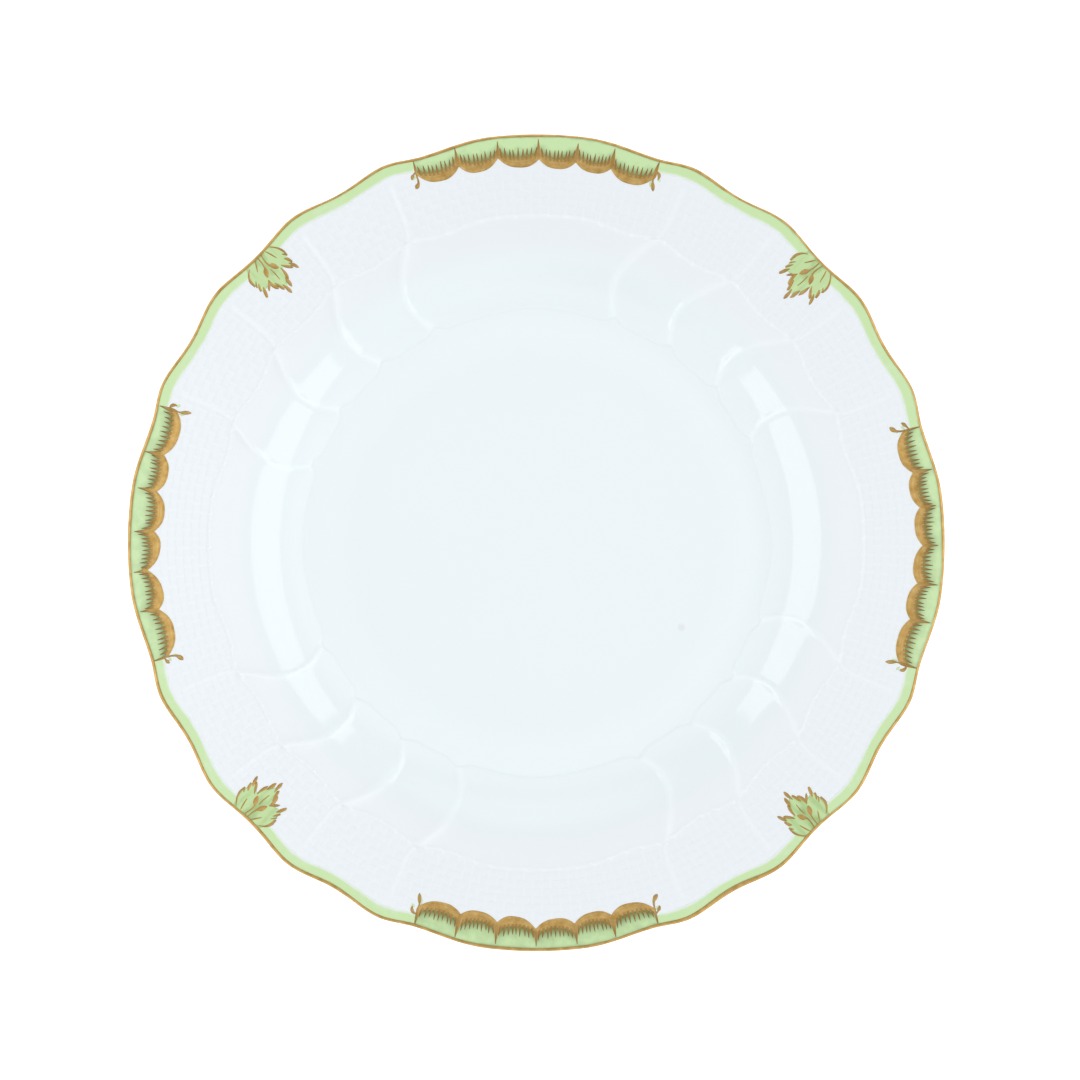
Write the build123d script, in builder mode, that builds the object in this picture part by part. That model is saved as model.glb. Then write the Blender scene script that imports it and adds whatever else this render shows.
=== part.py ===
"""A china dinner plate with a scalloped rim, painted in green enamel and gold.

The plate is one fired piece of porcelain, foot ring included.  Everything else on it is a
layer that was fired on afterwards: the glaze, the green enamels and the gilding.  Each layer
is a solid of its own here.  Millimetres, +Z up, origin under the middle of the plate on the
plane that it stands on.  North is +Y and east is +X.
"""

import math
import os

from build123d import *

# ---------------------------------------------------------------- driving dimensions
DIAMETER = 267.0  # across two opposite long arcs of the rim
WELL_TOP = 6.4  # height of the flat well floor
RECESS_TOP = 2.6  # height of the flat underside inside the foot ring
WALL_FOOT = 80.5  # radius where the well's wall would leave the floor, unrounded
WALL_HEAD = (96.0, 17.4)  # radius and height where the wall would meet the flange
FLANGE_SLOPE = math.tan(math.radians(13.0))
UNDER_WALL_HEAD = (98.0, 14.3)
UNDER_SLOPE = math.tan(math.radians(14.6))
FOOT_BOTTOM = (75.0, 79.0)  # inner and outer radius of the foot ring, unrounded
FOOT_ROOT = (73.6, 80.4)  # the same at the root of the ring
BARE_STRIP = (76.1, 77.7)  # the unglazed strip that the plate stands on
EDGE_ROUNDING = 0.9
BLANK_RADIUS = 140.0  # the turned blank is this large before the rim is cut

GLAZE = 0.25  # thickness of the glaze
PAINT = 0.10  # thickness of enamel and gilding over the glaze
GOLD_LINE = 1.0  # width of the gold line along the edge
RIBBON = 3.4  # how far the green ribbon reaches in from the edge

# One eighth of the rim, as (angle from a long arc's middle, radius as a share of the largest).
RIM_EIGHTH = [
    (0.0, 1.0),
    (7.5, 0.9993),
    (12.0, 0.9939),
    (17.0, 0.9864),
    (22.5, 0.9957),
    (30.0, 0.9808),
    (37.5, 0.9953),
    (45.0, 0.9811),
]
QUARTER = 90.0
EIGHTH = 45.0

# The garland is drawn flat, as (distance along the rim, radius), on a circle of this radius.
DRAWING_RADIUS = 127.5
GARLAND_ENDS = 40.2
CUSPS = [(-26.5, 125.3), (-13.0, 125.9), (0.3, 125.4), (13.2, 125.0), (26.2, 124.8)]
GARLAND_END_RADIUS = 125.6
SCALLOP_BOTTOMS = [122.4, 123.0, 123.3, 123.1, 122.8, 122.3]
TEETH_PER_SCALLOP = 10
GOLD_DEPTH = 2.9  # from a scallop's bottom up to the roots of its teeth
TOOTH = 2.4
TALL_TOOTH_RADIUS = 131.6
END_TOOTH_RADIUS = 130.9

SIDES = {"east": 0.0, "north": 90.0, "west": 180.0, "south": 270.0}
CORNERS = {"northeast": 45.0, "northwest": 135.0, "southwest": 225.0, "southeast": 315.0}
RIBBONS = {
    "ene": (0.0, 1), "nne": (90.0, -1), "nnw": (90.0, 1), "wnw": (180.0, -1),
    "wsw": (180.0, 1), "ssw": (270.0, -1), "sse": (270.0, 1), "ese": (360.0, -1),
}  # fmt: skip

# The leaf is drawn the same way, about a line through a corner.
LEAF_OUTLINE = [
    (-5.2, 130.4), (-6.9, 127.8), (-7.5, 125.6), (-7.3, 123.0), (-7.0, 120.8), (-5.9, 120.9),
    (-4.3, 121.2), (-2.8, 122.2), (-2.9, 120.2), (-2.2, 118.9), (-1.2, 117.8), (-0.1, 116.6),
    (1.3, 117.8), (2.7, 119.6), (3.2, 122.2), (4.7, 121.6), (6.4, 120.8), (7.2, 121.6),
    (7.2, 123.2), (7.6, 125.4), (7.1, 127.9), (5.5, 130.4),
]  # fmt: skip
# Each stroke is (start, middle, end, width at the middle).
LEAF_STROKES = [
    ((-4.9, 129.6), (-7.0, 127.4), (-7.3, 124.0), 0.8),
    ((-6.1, 124.3), (-6.8, 123.0), (-7.5, 121.7), 0.8),
    ((-6.1, 121.8), (-6.8, 120.4), (-7.7, 118.9), 0.9),
    ((-3.1, 122.3), (-4.0, 121.3), (-5.2, 119.8), 0.7),
    ((-2.7, 122.6), (-3.1, 120.4), (-2.4, 118.2), 0.9),
    ((-2.0, 120.4), (-1.7, 118.6), (-1.2, 116.6), 0.8),
    ((-0.2, 118.4), (-0.1, 116.2), (0.0, 113.9), 0.9),
    ((2.1, 119.6), (1.6, 117.6), (1.5, 115.6), 0.9),
    ((2.9, 123.0), (3.3, 120.6), (2.9, 118.2), 0.9),
    ((3.9, 123.2), (5.0, 121.6), (6.3, 119.9), 0.9),
    ((6.3, 122.0), (7.1, 120.5), (7.9, 118.7), 0.8),
    ((6.6, 124.2), (6.9, 122.8), (7.5, 121.3), 0.9),
    ((5.4, 129.9), (7.2, 127.6), (7.6, 124.6), 0.8),
    ((-1.7, 129.4), (-2.6, 128.2), (-3.6, 126.8), 0.35),
    ((-0.4, 129.6), (-0.5, 127.6), (-1.0, 125.9), 0.4),
    ((-0.9, 125.9), (-1.8, 124.6), (-2.1, 123.0), 1.4),
    ((1.2, 129.6), (1.0, 127.6), (1.1, 125.8), 0.4),
    ((0.9, 125.6), (1.9, 124.3), (2.6, 122.9), 1.4),
    ((3.2, 129.6), (3.7, 128.2), (4.3, 126.4), 0.4),
    ((0.4, 124.2), (0.3, 122.2), (0.2, 120.0), 0.35),
]

# The sprig at a garland's right-hand end: a short curl and a longer stem with a bud.
TENDRIL_STROKES = [
    ((41.2, 129.6), (41.0, 127.6), (42.4, 125.9), 0.5),
    ((40.9, 126.0), (40.9, 123.4), (41.8, 121.0), 0.9),
]

HIGH = 60.0  # taller than the plate, for cutting prisms


# ---------------------------------------------------------------- points
def polar(angle, radius):
    """The point at an angle in degrees and a radius."""
    return (radius * math.cos(math.radians(angle)), radius * math.sin(math.radians(angle)))


def drawn(centre, point, side=1):
    """Where a point of a flat drawing lies on the rim, about a centre line; side -1 mirrors it."""
    along, radius = point
    return polar(centre - math.degrees(side * along / DRAWING_RADIUS), radius)


def rim_points(grow):
    """The points of the whole scalloped rim, once round, moved outward by grow."""
    mirrored = [(QUARTER - angle, share) for angle, share in reversed(RIM_EIGHTH[1:-1])]
    return [
        polar(side + angle, DIAMETER / 2 * share + grow)
        for side in SIDES.values()
        for angle, share in RIM_EIGHTH + mirrored
    ]


def flange_height(radius):
    """Height of the glazed flange at a radius outside the wall's rounding."""
    return WALL_HEAD[1] + (radius - WALL_HEAD[0]) * FLANGE_SLOPE


# ---------------------------------------------------------------- flat outlines
def rim_face(grow):
    """The rim's outline, moved outward by grow."""
    with BuildSketch() as face:
        with BuildLine():
            Spline(*rim_points(grow), periodic=True)
        make_face()
    return face.sketch


def stroke_face(centre, stroke, side=1):
    """One brush stroke: two arcs that meet in a point at each end."""
    start, middle, end, width = stroke
    (x0, y0), (x1, y1) = start, end
    length = math.hypot(x1 - x0, y1 - y0)
    across = ((y0 - y1) / length * width / 2, (x1 - x0) / length * width / 2)
    bellies = [(middle[0] + way * across[0], middle[1] + way * across[1]) for way in (1, -1)]
    ends = [drawn(centre, point, side) for point in (start, end)]
    with BuildSketch() as face:
        with BuildLine():
            for belly in bellies:
                ThreePointArc(ends[0], drawn(centre, belly, side), ends[1])
        make_face()
    return face.sketch


def comb_points():
    """The roots and tips of the garland's teeth, from its left end to its right end."""
    cusps = [-GARLAND_ENDS] + [cusp[0] for cusp in CUSPS] + [GARLAND_ENDS]
    points = [(-GARLAND_ENDS, END_TOOTH_RADIUS)]
    for left, right, bottom in zip(cusps, cusps[1:], SCALLOP_BOTTOMS):
        pitch = (right - left) / TEETH_PER_SCALLOP
        for tooth in range(TEETH_PER_SCALLOP):
            from_middle = abs(tooth + 0.5 - TEETH_PER_SCALLOP / 2) / (TEETH_PER_SCALLOP / 2)
            root = bottom + GOLD_DEPTH + 1.4 * from_middle**2
            points.append((left + (tooth + 0.5) * pitch, root))
            if tooth < TEETH_PER_SCALLOP - 1:
                points.append((left + (tooth + 1) * pitch, root + TOOTH))
        points.append((right, TALL_TOOTH_RADIUS))
    points[-1] = (GARLAND_ENDS, END_TOOTH_RADIUS)
    return points


def garland_face(centre):
    """The gold garland: six scallops on the inside and a comb of teeth on the outside."""
    cusps = [(-GARLAND_ENDS, GARLAND_END_RADIUS)] + CUSPS + [(GARLAND_ENDS, GARLAND_END_RADIUS)]
    comb = [drawn(centre, point) for point in comb_points()]
    with BuildSketch() as face:
        with BuildLine():
            Polyline(*comb)
            Line(comb[-1], drawn(centre, cusps[-1]))
            for left, right, bottom in zip(cusps, cusps[1:], SCALLOP_BOTTOMS):
                middle = ((left[0] + right[0]) / 2, bottom)
                ThreePointArc(*(drawn(centre, point) for point in (left, middle, right)))
            Line(drawn(centre, cusps[0]), comb[0])
        make_face()
    return face.sketch


def panel_face(centre):
    """The green panel between the garland's teeth and the gold line."""
    comb = [drawn(centre, point) for point in comb_points()]
    outer = [drawn(centre, (side * GARLAND_ENDS, BLANK_RADIUS)) for side in (1, -1)]
    with BuildSketch() as face:
        with BuildLine():
            Polyline(*comb, *outer, close=True)
        make_face()
        add(rim_face(-GOLD_LINE), mode=Mode.INTERSECT)
    return face.sketch


def leaf_face(centre):
    """The outline of a whole leaf, strokes and green together."""
    with BuildSketch() as face:
        with BuildLine():
            Polyline(*(drawn(centre, point) for point in LEAF_OUTLINE), close=True)
        make_face()
        for stroke in LEAF_STROKES:
            add(stroke_face(centre, stroke))
    return face.sketch


def strokes_face(centre):
    """All gold strokes of a leaf."""
    with BuildSketch() as face:
        for stroke in LEAF_STROKES:
            add(stroke_face(centre, stroke))
    return face.sketch


def green_leaf_face(centre):
    """The green of a leaf, without the gold strokes."""
    with BuildSketch() as face:
        add(leaf_face(centre))
        add(strokes_face(centre), mode=Mode.SUBTRACT)
        add(rim_face(-GOLD_LINE), mode=Mode.INTERSECT)
    return face.sketch


def ribbon_face(centre, side):
    """The green ribbon from a garland's end to the next leaf."""
    first = math.degrees(GARLAND_ENDS / DRAWING_RADIUS)
    wedge = [(0.0, 0.0)] + [polar(centre + side * angle, 2 * BLANK_RADIUS) for angle in (first, EIGHTH)]
    with BuildSketch() as face:
        add(rim_face(-GOLD_LINE))
        add(rim_face(-RIBBON), mode=Mode.SUBTRACT)
        with BuildSketch(mode=Mode.PRIVATE) as sector:
            with BuildLine():
                Polyline(*wedge, close=True)
            make_face()
        add(sector.sketch, mode=Mode.INTERSECT)
        add(leaf_face(centre + side * EIGHTH), mode=Mode.SUBTRACT)
    return face.sketch


def tendril_face(centre, side):
    """The gold strokes of the sprig at one end of a garland."""
    with BuildSketch() as face:
        for stroke in TENDRIL_STROKES:
            add(stroke_face(centre, stroke, side))
    return face.sketch


# ---------------------------------------------------------------- solids
def plate_blank(grow):
    """The whole plate, with every surface moved outward by grow."""
    under_wall_foot = (FOOT_ROOT[1], RECESS_TOP)
    corners = [
        (-WALL_FOOT, WELL_TOP),
        (WALL_FOOT, WELL_TOP),
        WALL_HEAD,
        (BLANK_RADIUS, flange_height(BLANK_RADIUS)),
        (BLANK_RADIUS, UNDER_WALL_HEAD[1] + (BLANK_RADIUS - UNDER_WALL_HEAD[0]) * UNDER_SLOPE),
        UNDER_WALL_HEAD,
        under_wall_foot,
        (FOOT_BOTTOM[1], 0.0),
        (FOOT_BOTTOM[0], 0.0),
        (FOOT_ROOT[0], RECESS_TOP),
        (-WALL_FOOT, RECESS_TOP),
    ]
    roundings = [24.0, 30.0, 0.0, 0.0, 28.0, 1.5, 0.9, 0.9, 1.2]
    with BuildPart() as blank:
        with BuildSketch(Plane.XZ) as section:
            with BuildLine():
                FilletPolyline(*corners, radius=roundings)
                Line(corners[-1], corners[0])
            make_face()
            if grow:
                offset(amount=grow)
            with Locations((-BLANK_RADIUS, 0.0)):
                Rectangle(2 * BLANK_RADIUS, HIGH * 2, mode=Mode.SUBTRACT)
        revolve(axis=Axis.Z)
        add(extrude(rim_face(grow), amount=HIGH, mode=Mode.PRIVATE), mode=Mode.INTERSECT)
        rim_edges = blank.edges().filter_by(lambda edge: edge.bounding_box().size.X > DIAMETER * 0.9)
        fillet(rim_edges, radius=EDGE_ROUNDING + grow)
    return blank.part


def enamel_ring():
    """A ring of paint all over the flange, for cutting motifs out of."""
    reach = (110.0, BLANK_RADIUS)
    slope = Vector(1.0, FLANGE_SLOPE).normalized()
    lift = Vector(-slope.Y, slope.X) * PAINT
    line = [Vector(radius, flange_height(radius)) for radius in reach]
    with BuildPart() as ring:
        with BuildSketch(Plane.XZ):
            with BuildLine():
                Polyline(line[0], line[1], line[1] + lift, line[0] + lift, close=True)
            make_face()
        revolve(axis=Axis.Z)
    return ring.part


def save(label, part):
    """Names a finished piece and writes it to its own file."""
    part.label = label
    export_step(part, os.path.join("parts", f"{label}.step"))


def paint_layer(label, face, ring):
    """Cuts one motif out of the ring of paint and saves it."""
    with BuildPart() as layer:
        add(ring)
        add(extrude(face, amount=HIGH, mode=Mode.PRIVATE), mode=Mode.INTERSECT)
    save(label, layer.part)


os.makedirs("parts", exist_ok=True)

glazed_plate = plate_blank(0.0)

# The fired body stands on the unglazed strip of its foot ring.
with BuildPart() as porcelain_body:
    add(plate_blank(-GLAZE))
    with BuildSketch():
        Circle(BARE_STRIP[1])
        Circle(BARE_STRIP[0], mode=Mode.SUBTRACT)
    extrude(amount=3 * GLAZE)
save("porcelain_body", porcelain_body.part)

# The glaze covers the rest.  The bare strip parts it into a coat and a disc in the recess.
with BuildPart() as glaze:
    add(glazed_plate)
    add(porcelain_body.part, mode=Mode.SUBTRACT)
recess_disc, outer_coat = glaze.solids().sort_by(SortBy.VOLUME)

with BuildPart() as glaze_coat:
    add(outer_coat)
save("glaze_coat", glaze_coat.part)

with BuildPart() as glaze_recess:
    add(recess_disc)
save("glaze_recess", glaze_recess.part)

# The gold line wraps round the edge, on to both faces.
with BuildPart() as gold_edge_line:
    add(plate_blank(PAINT))
    add(glazed_plate, mode=Mode.SUBTRACT)
    add(extrude(rim_face(-GOLD_LINE), amount=HIGH, mode=Mode.PRIVATE), mode=Mode.SUBTRACT)
save("gold_edge_line", gold_edge_line.part)

paint = enamel_ring()
for name, angle in SIDES.items():
    paint_layer(f"gold_garland_{name}", garland_face(angle), paint)
    paint_layer(f"green_panel_{name}", panel_face(angle), paint)
    for end, side in (("left", -1), ("right", 1)):
        paint_layer(f"gold_tendril_{name}_{end}", tendril_face(angle, side), paint)

for name, angle in CORNERS.items():
    paint_layer(f"green_leaf_{name}", green_leaf_face(angle), paint)
    paint_layer(f"gold_leaf_strokes_{name}", strokes_face(angle), paint)

for name, (angle, side) in RIBBONS.items():
    paint_layer(f"green_ribbon_{name}", ribbon_face(angle, side), paint)
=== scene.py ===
"""The looks of the china dinner plate: moulded and glazed porcelain, green enamel and gilding.

The relief is real geometry: a basket weave on the border, a beaded line inside it, swirling ribs
down the wall and a scalloped step round the well.  Enamel and gilding are thin raised layers that
lie on that relief, stroke by stroke.  Lengths here are in millimetres and angles in degrees; the
meshes are in metres, in the frame of the CAD part.
"""

import math

import bpy
import numpy as np
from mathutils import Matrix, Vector


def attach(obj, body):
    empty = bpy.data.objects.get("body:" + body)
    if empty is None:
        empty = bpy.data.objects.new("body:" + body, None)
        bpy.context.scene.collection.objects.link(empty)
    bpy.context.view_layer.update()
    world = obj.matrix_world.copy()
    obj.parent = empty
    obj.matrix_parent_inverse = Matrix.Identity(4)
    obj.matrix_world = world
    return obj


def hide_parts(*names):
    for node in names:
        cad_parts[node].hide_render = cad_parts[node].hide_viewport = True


MM = 0.001

# ---------------------------------------------------------------- the plate's section
RADIUS = 133.5
WELL_TOP = 6.4
WALL_FOOT = 80.5
WALL_HEAD = (96.0, 17.4)
FLANGE_ANGLE = math.radians(13.0)
UNDER_WALL_HEAD = (98.0, 14.3)
UNDER_ANGLE = math.radians(14.6)
FOOT_ROOT = (80.4, 2.6)
FOOT_OUTSIDE = 79.0
BARE_STRIP_OUTSIDE = 77.7
EDGE_ROUNDING = 0.9
BLANK_RADIUS = 140.0
GLAZE = 0.25
SEAM = 1.4  # the two glaze pieces of the top meet this far inside the beaded line
WALL_RINGS = (82.2, 103.3, 0.75)  # rings of points up the wall: from, up to and pitch

# The rim, as shares of the radius at angles from the middle of a long arc, and how late each stretch turns.
RIM_ANGLES = np.array([6.0, 17.0, 22.5, 30.0, 37.5, 45.0])
RIM_SHARES = np.array([1.0, 0.9864, 0.9957, 0.9808, 0.9953, 0.9811])
RIM_LATENESS = np.array([1.15, 1.0, 0.87, 1.0, 0.87])
RIM_TURN = 0.4  # degrees that the pressed rim is turned clockwise

# ---------------------------------------------------------------- the relief
FIRST_RIB = 23.5
RIB_PITCH = 15.0
RIBS = [quarter + FIRST_RIB + RIB_PITCH * i for quarter in (0, 90, 180, 270) for i in range(4)]
# How far a rib has swirled round, in degrees, at five radii.
RIB_SWIRL = np.polyfit([78.3, 84.0, 89.0, 98.0, 107.0], [2.3, 4.4, 4.9, 3.1, 0.0], 4)
RIB_LAG = 2.0  # degrees from a rib's head to the cusp at its foot
RIB_WIDTH = 1.15  # from a rib's crest to its foot
RIB_HEIGHT = 0.29
SCOOP_DEPTH = 0.30  # the wall is scooped out between the ribs
SCOOP_REACH = 9.0  # from a rib's crest to where the scoop is deepest
SPOKE_HEIGHT = 0.14
SPOKE_DRIFT = 1.1  # degrees that a spoke drifts back from its rib

BORDER_RADIUS = 107.3
BORDER_SWING = 1.3  # the beaded line waves this much more than the rim does
BORDER_TURN = 0.9  # degrees that it is turned against the rim
BORDER_DEPTH = 0.06  # the weave's ground lies this much lower
ROPE_HEIGHT = 0.20
BEAD_HEIGHT = 0.20
FIRST_BEAD = 0.9

STAKE_PITCH = 1.5  # degrees from one stake of the weave to the next
FIRST_STAKE = -0.6
ROW_PITCH = 2.55  # from one row of the weave to the next
FIRST_ROW = 109.4
LAST_ROW = 7
WEAVE_HEIGHT = 0.20
WEAVE_FADE = (126.4, 128.4)

STEP_RADIUS = 76.4
STEP_HEIGHT = 0.20
GROOVE_DEPTH = 0.06

# ---------------------------------------------------------------- the painting
DRAWING_RADIUS = 127.5  # the garlands and leaves are drawn flat, as (distance along this circle, radius)
GOLD_LINE = 0.93  # how far in from the rim the gold line reaches
LINE_UNDER = math.radians(58.0)  # how far the gold line wraps the edge's lower half
LINE_TUCK = 0.12  # enamel ends this far under the gold line
ENAMEL_LIFT = 0.045  # how far a layer stands above the glaze
RIBBON_LIFT = 0.8 * ENAMEL_LIFT
LEAF_LIFT = 1.15 * ENAMEL_LIFT
GOLD_LIFT = 0.10
TOOTH_LIFT = 1.1 * GOLD_LIFT  # a later stroke lies over an earlier one
LEAF_STROKE_LIFT = 1.15 * GOLD_LIFT
HORN_LIFT = 1.2 * GOLD_LIFT
SUNK = -0.06  # every layer's back lies this far inside the glaze
SHOULDER = 0.25  # a layer's edge is this share as thick as its middle
GOLD_DEPTH = 2.75  # of a scallop's gold, under its teeth
TEETH = 10
TEETH_OVERLAP = 0.3  # the gold and the green overlap this far either side of the teeth's roots
LINE_SHADE = 0.5  # enamel is thicker over this width by the gold line
FINEST_STROKE = 0.12
LEAF_MIDDLE = 125.2
LEAF_FOOT = 131.0
LEAF_REACH = 2.3  # degrees from a leaf's middle to the ribbon beside it
RIBBON_WIDTH = 4.5

# Each garland: its middle, the cusps of its inner edge from end to end and the lowest radius of each scallop.
GARLANDS = {
    "north": (
        90.3,
        [(-39.4, 126.4), (-25.2, 125.6), (-12.0, 126.4), (1.6, 125.5),
         (13.9, 125.1), (25.8, 124.7), (40.2, 124.8)],
        [122.4, 122.7, 122.9, 122.5, 122.4, 121.3],
    ),
    "east": (
        0.0,
        [(-37.6, 125.3), (-23.4, 125.3), (-11.7, 126.0), (0.9, 126.4),
         (13.5, 125.4), (25.7, 124.8), (40.6, 124.9)],
        [122.0, 123.3, 123.9, 123.6, 122.7, 122.3],
    ),
    "west": (
        178.6,
        [(-41.2, 125.9), (-25.4, 125.3), (-12.1, 127.4), (0.7, 125.0),
         (14.0, 125.2), (26.4, 125.1), (41.4, 124.9)],
        [121.8, 123.2, 123.1, 122.0, 122.5, 122.0],
    ),
    "south": (
        270.0,
        [(-39.8, 125.6), (-25.4, 124.2), (-12.8, 125.2), (0.2, 126.3),
         (13.1, 124.8), (25.6, 124.0), (39.7, 124.7)],
        [121.8, 122.2, 123.1, 122.5, 122.0, 121.6],
    ),
}

# Each leaf: its middle and its size.
LEAVES = {
    "northeast": (44.6, 1.0),
    "northwest": (134.3, 0.97),
    "southwest": (223.4, 0.97),
    "southeast": (314.85, 0.93),
}
LEAF_OUTLINE = [
    (-5.0, 131.4), (-6.6, 128.6), (-7.4, 126.0), (-7.3, 123.0), (-6.9, 120.7), (-5.6, 121.0),
    (-4.2, 121.4), (-2.9, 122.2), (-2.9, 120.2), (-2.1, 118.8), (-1.2, 117.6), (-0.1, 116.2),
    (1.2, 117.6), (2.5, 119.2), (3.2, 121.8), (4.7, 121.9), (6.4, 120.9), (7.1, 121.2),
    (7.2, 123.2), (7.6, 125.4), (7.0, 128.2), (5.6, 131.4), (2.9, 131.6), (0.0, 131.6), (-2.7, 131.6),
]
# Gold strokes of a leaf, each through (along, radius, width) from its start to its tip.
LEAF_STROKES = [
    [(-4.8, 129.5, 0.25), (-6.3, 128.4, 0.55), (-7.4, 126.6, 0.85), (-7.7, 124.2, 0.5)],
    [(-6.0, 125.1, 0.2), (-6.7, 124.3, 0.45), (-7.4, 123.3, 0.35)],
    [(-6.0, 124.0, 0.25), (-6.7, 122.9, 0.75), (-7.4, 121.7, 0.5)],
    [(-5.9, 122.2, 0.3), (-6.7, 120.8, 0.95), (-7.5, 119.2, 0.75), (-7.7, 118.8, 0.2)],
    [(-2.7, 122.6, 0.25), (-3.6, 121.5, 0.7), (-4.6, 120.6, 0.7), (-5.3, 119.8, 0.2)],
    [(-2.8, 122.3, 0.3), (-3.0, 120.6, 1.0), (-2.6, 118.8, 0.95), (-2.2, 118.1, 0.2)],
    [(-2.1, 120.4, 0.25), (-1.7, 119.0, 0.8), (-1.3, 117.2, 0.8), (-1.2, 116.5, 0.2)],
    [(-0.4, 118.0, 0.25), (-0.1, 116.6, 0.8), (0.0, 115.0, 1.05), (0.0, 113.9, 0.3)],
    [(2.1, 119.3, 0.25), (1.8, 118.0, 1.0), (1.6, 116.4, 0.95), (1.4, 115.5, 0.2)],
    [(3.2, 122.6, 0.3), (3.2, 121.0, 0.7), (2.9, 119.4, 0.95), (2.7, 118.1, 0.2)],
    [(3.8, 123.2, 0.25), (4.8, 121.8, 0.8), (5.9, 120.6, 0.85), (6.4, 119.9, 0.3)],
    [(6.2, 122.0, 0.3), (7.0, 120.7, 0.9), (7.6, 119.3, 0.75), (7.9, 118.6, 0.2)],
    [(6.2, 124.2, 0.3), (6.9, 123.2, 0.95), (7.5, 121.6, 0.6)],
    [(6.6, 125.6, 0.2), (7.1, 125.0, 0.45), (7.7, 124.2, 0.35)],
    [(5.0, 130.3, 0.3), (6.6, 128.4, 0.55), (7.5, 126.4, 0.6), (7.7, 124.4, 0.35)],
    [(-1.6, 129.9, 0.3), (-2.4, 128.6, 0.5), (-3.6, 126.8, 0.25)],
    [(3.1, 130.0, 0.3), (3.7, 128.4, 0.5), (4.4, 126.0, 0.25)],
    [(0.2, 124.6, 0.25), (0.3, 122.6, 0.42), (0.1, 120.0, 0.25)],
    [(-0.2, 130.0, 0.4), (-0.4, 127.8, 0.5), (-0.8, 126.2, 0.65), (-1.4, 125.1, 1.75), (-2.0, 123.9, 1.35),
     (-2.4, 123.1, 0.3)],
    [(1.2, 130.0, 0.4), (0.8, 127.6, 0.5), (0.9, 125.8, 0.65), (1.6, 124.9, 1.65), (2.2, 123.7, 1.4),
     (2.7, 122.9, 0.3)],
]

# The sprigs at a garland's ends, measured outwards from the end: a hooked curl over a long bud in gold,
# then dabs of green, each through (along, radius, width).
SPRIGS = {
    "left": (
        [[(0.2, 127.4, 0.45), (1.0, 126.9, 0.6), (1.7, 126.4, 1.2), (2.2, 125.9, 0.8), (2.2, 125.5, 0.2)],
         [(0.1, 126.4, 0.5), (0.2, 124.8, 0.6), (0.55, 123.6, 0.85), (1.3, 122.8, 1.5), (2.0, 122.4, 1.1),
          (2.4, 122.3, 0.2)]],
        [[(0.5, 126.0, 0.4), (1.2, 125.6, 0.7), (1.8, 125.3, 0.2)],
         [(0.1, 124.6, 0.3), (0.3, 123.4, 0.6), (0.8, 122.6, 0.2)]],
    ),
    "right": (
        [[(0.4, 127.6, 0.5), (1.1, 127.4, 0.9), (1.7, 126.8, 1.1), (1.9, 125.9, 0.7), (1.8, 125.4, 0.2)],
         [(0.1, 125.4, 0.45), (0.25, 124.1, 0.6), (0.7, 122.8, 1.3), (1.15, 121.7, 1.05), (1.4, 121.0, 0.2)]],
        [[(1.5, 125.6, 0.4), (2.1, 125.2, 0.95), (2.6, 124.8, 0.3)],
         [(-0.5, 124.2, 0.3), (-0.3, 123.0, 0.6), (0.1, 122.3, 0.2)]],
    ),
}

# How much darker each panel and leaf is made: most towards the south.
DARKER_BY = {"north": 0.0, "east": 0.03, "west": 0.04, "south": 0.09,
         "northeast": 0.0, "northwest": 0.01, "southwest": 0.07, "southeast": 0.12}

PORCELAIN = (0.749, 0.778, 0.785)
POOLED = (0.7516, 0.803, 0.806)  # where the glaze lies thicker, in the well
PAINTED_GLOW = (0.772, 0.824, 0.828)  # painted glow: round the foot of the wall, painted brighter to lift the shade that falls there
FIRING_SPOT = (0.0479, -0.0279, 0.0063)  # a grey speck in the well, in metres
SEED = 7


# ---------------------------------------------------------------- numbers
def eased(x, knots, values, lateness):
    """Values joined by half cosines, which are level at every knot; a late stretch turns after its middle."""
    i = np.clip(np.searchsorted(knots, x, side="right") - 1, 0, len(knots) - 2)
    share = np.clip((x - knots[i]) / (knots[i + 1] - knots[i]), 0.0, 1.0) ** lateness[i]
    return values[i] + (values[i + 1] - values[i]) * (1 - np.cos(np.pi * share)) / 2


def smooth(x):
    """0 below 0, 1 above 1 and smooth between."""
    x = np.clip(x, 0.0, 1.0)
    return x * x * (3 - 2 * x)


def wrapped(angle, period=360.0):
    """The angle brought to within half a period of zero."""
    return (angle + period / 2) % period - period / 2


def hump(x, width):
    """A bell curve: 1 at zero, and 1/e a width away from it."""
    return np.exp(-((x / width) ** 2))


def scatter(a, b):
    """A repeatable pseudo-random number from 0 to 1 for two whole numbers."""
    return np.modf(np.abs(np.sin(a * 12.9898 + b * 78.233) * 43758.5453))[0]


def through(points, count):
    """A smooth line of count points through the given ones (Catmull-Rom)."""
    points = np.array(points, float)
    ends = np.vstack([2 * points[0] - points[1], points, 2 * points[-1] - points[-2]])
    t = np.linspace(0, len(points) - 1, count)
    i = np.minimum(t.astype(int), len(points) - 2)
    t = (t - i)[:, None]
    a, b, c, d = (ends[i + k] for k in range(4))
    return 0.5 * (2 * b + (c - a) * t + (2 * a - 5 * b + 4 * c - d) * t**2 + (3 * b - a - 3 * c + d) * t**3)


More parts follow.
